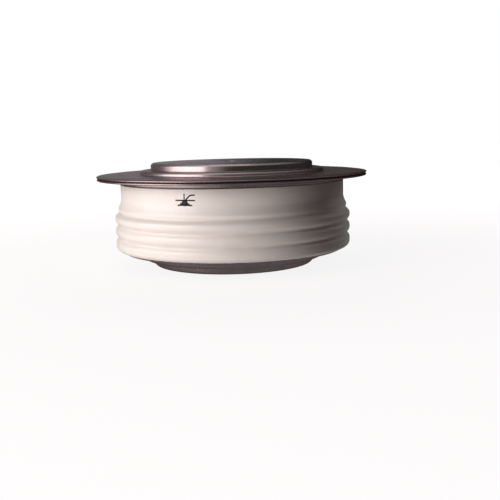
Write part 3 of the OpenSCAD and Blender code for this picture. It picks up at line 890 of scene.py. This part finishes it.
def cutOut(piece, low, high):
    # takes a box out of the piece, given by two corners in millimetres
    block = bpy.data.meshes.new("cutter")
    work = bmesh.new()
    bmesh.ops.create_cube(work, size=1)
    for corner in work.verts:
        corner.co = [mm * (a + (b - a) * (side + 0.5)) for a, b, side in zip(low, high, corner.co)]
    work.to_mesh(block)
    work.free()
    cutter = newObject("cutter", block)
    modifier = piece.modifiers.new("cut", "BOOLEAN")
    modifier.object, modifier.operation, modifier.solver = cutter, "DIFFERENCE", "EXACT"
    settle(piece, modifier)
    bpy.data.objects.remove(cutter)
    tidyMesh(piece)


def addPoles():
    low, high = edges("cathode_pole")[1:]
    bore, boss, step = gateBore["radius"], gateBore["bossRadius"], low + gateBore["bossHeight"]
    outline = faceOutline(high, -1) + [
        (pole["bodyRadius"], step, 0.15), (boss, step), (boss, low, 0.15), (bore, low, 0.1),
        (bore, gateBore["top"], 0.1), (0, gateBore["top"]),
    ]
    cathodePole = turnPiece("cathodePole", outline, polePlating, "plated_pole", "cathode_pole")
    half = gateBore["slotHalf"]
    cutOut(cathodePole, (-half, 0, low - 1), (half, gateBore["slotEnd"], gateBore["slotTop"]))
    low, high = edges("anode_pole")[1:]
    outline = faceOutline(low, 1) + [(pole["bodyRadius"], high, 0.2), (0, high)]
    turnPiece("anodePole", outline, polePlating, "plated_pole", "anode_pole")


addPoles()
print("poles ready")

# Gate terminal: eyelet, tube and pin, turned about the gate's axis; heights are places along Y
terminal = {
    "eyelet": [
        (1.445, 0, 0.05), (2.745, 0, 0.15), (2.745, 0.5, 0.15), (1.945, 0.5, 0.3), (1.945, 1.4, 0.15),
        (1.445, 1.4, 0.1),
    ],
    "tubeBore": 1.015, "tubeRadius": 1.415, "shankRadius": 0.985, "shankOut": 0.2, "pinRadius": 0.785,
    "tipLength": 0.45, "tipTaper": 0.3,
    # the depth, the way from the tube's end and the bend of each of its points
    "crimp": [(0, 1.3, 0.3), (0.06, 1.0, 0.3), (0.06, 0.7, 0.3), (0, 0.4, 0.2)],
}


def reach(nodeName):
    # a node's nearest and farthest place along Y, in millimetres
    return [corner[1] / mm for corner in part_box(nodeName)]


def addTerminal():
    turn = Matrix.Translation((0, 0, gateHeight * mm)) @ Matrix.Rotation(math.radians(-90), 4, "X")
    start = reach("gate_eyelet")[0]
    outline = [(r, start + out, bend) for r, out, bend in terminal["eyelet"]]
    turnPiece("gateEyelet", outline, tinned, "terminal_metal", "gate_eyelet", turn=turn)
    start, end = reach("gate_tube")
    bore, outer = terminal["tubeBore"], terminal["tubeRadius"]
    crimp = [(outer - dip, end - back, bend) for dip, back, bend in terminal["crimp"]]
    outline = [(bore, start, 0.05), (outer, start, 0.12), *crimp, (outer, end, 0.18), (bore, end, 0.08)]
    turnPiece("gateTube", outline, tinned, "terminal_metal", "gate_tube", turn=turn)
    start, tip = reach("gate_pin")
    shank, pin, step = terminal["shankRadius"], terminal["pinRadius"], end + terminal["shankOut"]
    outline = [
        (0, start), (shank, start, 0.1), (shank, step, 0.1), (pin, step, 0.05),
        (pin, tip - terminal["tipLength"], 0.3), (pin - terminal["tipTaper"], tip, 0.25), (0, tip),
    ]
    turnPiece("gatePin", outline, tinned, "terminal_metal", "gate_pin", turn=turn)


addTerminal()
print("gate terminal ready")

# Closed rings of filler that shows at the brazed joints: steps out and up from the joint, with the bends
fillers = {
    "top": [(-0.3, -0.02), (-0.06, -0.2, 0.08), (0.05, 0, 0.1), (-0.06, 0.2, 0.08), (-0.3, 0.02)],
    "foot": [(-0.1, 0.02), (0.32, 0.02, 0.03), (0.1, -0.1, 0.12), (0.02, -0.35, 0.03), (-0.1, -0.3)],
    "pole": [(-0.02, -0.05), (-0.02, 0.2, 0.02), (0.08, 0.06, 0.1), (0.26, 0.01, 0.02), (0.2, -0.05)],
}
brazeMetal = plainMetal("brazeFiller", (0.28, 0.235, 0.215), 0.38, 2.0, 0.01, edgeTint=(0.6, 0.5, 0.47))


def addBrazeRings():
    # the joint's radius and height, and whether the filler stands up or hangs
    rings = {
        "topBraze": ("top", ribs["neckRadius"], edges("ceramic_housing")[2], 1),
        "footBraze": ("foot", sheet["anodeFoot"], edges("ceramic_housing")[1], 1),
        "poleBraze": ("pole", pole["faceRadius"], edges("cathode_flange")[2], 1),
        "anodeBraze": ("pole", pole["faceRadius"], edges("anode_flange")[1], -1),
    }
    for name, (filler, radius, height, way) in rings.items():
        outline = [(radius + out, height + way * up, *bend) for out, up, *bend in fillers[filler]]
        turnPiece(name, outline, brazeMetal, "plated_sheet")


addBrazeRings()

# Weld bead round the rim
bead = {"inset": 0.62, "radius": 0.22, "sides": 10, "ripples": 190, "rippleDepth": 0.3, "stepsPerRipple": 5}


def rippledBeadTree():
    # a weld bead: a ring whose thickness ripples as the puddle moved on
    lengths = {"ringRadius": 0.0, "ringHeight": 0.0, "beadRadius": 0.0, **rimInputs}
    ripples = {"ripples": bead["ripples"], "rippleDepth": bead["rippleDepth"]}
    tree, given, wanted = shapeTree("rippledBead", {**ripples, **lengths})
    steps = times(tree, given["Ripples"], bead["stepsPerRipple"])
    ring = circle(tree, steps, given["Ring Radius"])
    turn = times(tree, shapeStep(tree, "InputIndex"), math.pi / bead["stepsPerRipple"])
    dip = minus(tree, 1.0, calc(tree, "ABSOLUTE", calc(tree, "SINE", turn)))
    scale = minus(tree, 1.0, times(tree, dip, given["Ripple Depth"]))
    piece = sweep(tree, ring, circle(tree, bead["sides"], given["Bead Radius"]), Scale=scale)
    up = combine(tree, 0, 0, given["Ring Height"])
    piece = shapeStep(tree, "Transform", {"Geometry": piece, "Translation": up})
    piece = shapeStep(tree, "SetPosition", {"Geometry": piece, "Offset": rimLift(tree, given)})
    return endTree(tree, given, wanted, piece)


# near black: the weld bead's own dark colour with painted shade of the gap between the two rim sheets
gapShadeAndWeld = plainMetal("gapShadeAndWeldBead", (0.06, 0.047, 0.042), 0.5, 3.0, 0.01, edgeTint=(0.5, 0.42, 0.42))


def addBead():
    rim, *_, joint = edges("weld_ring")
    lengths = {"ringRadius": rim - bead["inset"], "ringHeight": joint, "beadRadius": bead["radius"]}
    piece = grow("rimWeld", rippledBeadTree(), gapShadeAndWeld, **inMetres({**lengths, **rimShape}))
    tidyMesh(piece)
    onCapsule(piece, "plated_sheet")


addBead()


def roundWireTree():
    tree, given, wanted = shapeTree("roundWire", {"wireRadius": 0.001, "sides": 14}, "Path")
    path = shapeStep(tree, "MeshToCurve", {"Mesh": given["Path"]})
    section = circle(tree, given["Sides"], given["Wire Radius"])
    wire = sweep(tree, path, section, **{"Fill Caps": True})
    return endTree(tree, given, wanted, wire)


roundWire = roundWireTree()


def wirePiece(name, path, radius, material, slot, replaced):
    line = bpy.data.meshes.new(name)
    corners = [[value * mm for value in point] for point in path]
    line.from_pydata(corners, [(i, i + 1) for i in range(len(path) - 1)], [])
    piece = grow(name, roundWire, material, line, wireRadius=radius * mm)
    tidyMesh(piece)
    onCapsule(piece, slot, replaced)


# Spring and lead; wire is the radius of the round wire
coil = {"wire": 0.3, "turns": 4, "stepsPerTurn": 32}
lead = {"wire": 0.4, "bend": 1.5, "turnEnd": 26.5, "stepsPerBend": 12, "minimum": 0.1}


def addSpring():
    outer, low, high = edges("gate_spring")
    radius, steps = outer - coil["wire"], coil["turns"] * coil["stepsPerTurn"]
    low, high = low + coil["wire"], high - coil["wire"]
    path = []
    for i in range(steps + 1):
        angle = math.tau * i / coil["stepsPerTurn"]
        path.append((radius * math.cos(angle), radius * math.sin(angle), low + (high - low) * i / steps))
    wirePiece("gateSpring", path, coil["wire"], springMetal, "spring_metal", "gate_spring")


def addLead():
    # straight out through the sleeve, up in two equal bends, then into the tube
    (start, end), (low, high) = reach("gate_lead"), edges("gate_lead")[1:]
    z, top, bend = low + lead["wire"], high - lead["wire"], lead["bend"]
    rise = top - z
    middle = max(lead["minimum"], rise - 2 * bend)
    turn = math.atan2(2 * bend, middle) + math.asin((rise - 2 * bend) / math.hypot(middle, 2 * bend))
    first = lead["turnEnd"] - 2 * bend * math.sin(turn) - middle * math.cos(turn)
    angles = [turn * i / lead["stepsPerBend"] for i in range(lead["stepsPerBend"] + 1)]
    path = [(0, start, z)]
    bows = [(bend * math.sin(angle), bend * (1 - math.cos(angle))) for angle in angles]
    path += [(0, first + out, z + up) for out, up in bows]
    path += [(0, lead["turnEnd"] - out, top - up) for out, up in reversed(bows)]
    path.append((0, end, top))
    wirePiece("gateLead", path, lead["wire"], silverWire, "silver_wire", "gate_lead")


addSpring()
addLead()
print("weld, braze and wires ready")

# Polarity symbol in dot-matrix ink on the plain band: strokes go across and up from its lower left corner
symbol = {
    "angle": 26.4, "height": 18.0, "pitch": 0.28, "dot": 0.19, "thickness": 0.016, "sides": 10,
    "strokes": [
        [(2.2, 2.9), (2.2, 1.5)], [(0, 1.45), (4.8, 1.45)], [(2.6, 1.6), (3.7, 2.65), (4.8, 2.75)],
        [(1.8, 1.2), (2.8, 1.2)], [(1.6, 0.9), (3.0, 0.9)], [(1.2, 0.6), (3.4, 0.6)],
        [(0.6, 0.3), (4.0, 0.3)], [(0.46, 0), (1.0, 0)], [(2.0, 0), (2.6, 0)], [(3.6, 0), (4.15, 0)],
    ],
}


def inkDotsTree():
    sizes = ("dotPitch", "dotRadius", "dotThickness", "bandRadius", "startAngle", "startHeight")
    tree, given, wanted = shapeTree("inkDots", {key: 0.0 for key in sizes}, "Strokes")
    lines = shapeStep(tree, "MeshToCurve", {"Mesh": given["Strokes"]})
    points = shapeStep(tree, "CurveToPoints", {"Curve": lines, "Length": given["Dot Pitch"]}, mode="LENGTH")
    across, up = split(tree, shapeStep(tree, "InputPosition"))[:2]
    angle = minus(tree, given["Start Angle"], divide(tree, across, given["Band Radius"]))
    side, front = calc(tree, "SINE", angle), calc(tree, "COSINE", angle)
    outward = combine(tree, times(tree, side, -1), times(tree, front, -1), 0)
    ringed = {0: outward, "Scale": given["Band Radius"]}
    ringed = addNode(tree, "ShaderNodeVectorMath", ringed, operation="SCALE").outputs[0]
    spot = vectorCalc(tree, "ADD", ringed, combine(tree, 0, 0, plus(tree, up, given["Start Height"])))
    kept = {"Geometry": points, "Name": "outward", "Value": outward}
    kept = shapeStep(tree, "StoreNamedAttribute", kept, data_type="FLOAT_VECTOR")
    moved = shapeStep(tree, "SetPosition", {"Geometry": kept, "Position": spot})
    facing = shapeStep(tree, "InputNamedAttribute", {"Name": "outward"}, data_type="FLOAT_VECTOR")
    turn = addNode(tree, "FunctionNodeAlignRotationToVector", {"Vector": facing}, axis="Z").outputs[0]
    disc = {"Vertices": symbol["sides"], "Radius": given["Dot Radius"], "Depth": given["Dot Thickness"]}
    dots = {"Points": moved, "Instance": shapeStep(tree, "MeshCylinder", disc), "Rotation": turn}
    return endTree(tree, given, wanted, shapeStep(tree, "InstanceOnPoints", dots))


def printInk(name, color, faint):
    material, tree, bsdf = newMaterial(name, 0.0, 0.45)
    point = millimetrePoint(tree)
    worn = effect(tree, "smudges", point, size=0.8)
    setSocket(tree, bsdf.inputs["Base Color"], blend(tree, worn, color, faint))
    setSocket(tree, bsdf.inputs["Roughness"], remap(tree, worn, 0, 1, 0.35, 0.55))
    bsdf.inputs["Specular IOR Level"].default_value = 0.1
    return material


ink = printInk("printInk", (0.014, 0.009, 0.009), (0.045, 0.035, 0.035))


def addSymbol():
    mesh = bpy.data.meshes.new("strokes")
    corners, lines = [], []
    for stroke in symbol["strokes"]:
        first = len(corners)
        corners += [(across * mm, up * mm, 0) for across, up in stroke]
        lines += [(i, i + 1) for i in range(first, len(corners) - 1)]
    mesh.from_pydata(corners, lines, [])
    lengths = inMetres({
        "dotPitch": symbol["pitch"], "dotRadius": symbol["dot"], "dotThickness": symbol["thickness"],
        "bandRadius": ribs["neckRadius"], "startHeight": symbol["height"],
    })
    start = math.radians(symbol["angle"])
    dots = grow("polaritySymbol", inkDotsTree(), ink, mesh, startAngle=start, **lengths)
    dots.data.set_sharp_from_angle(angle=math.radians(turning["sharpAngle"]))
    onCapsule(dots, "glazed_alumina")


addSymbol()
print("symbol ready")
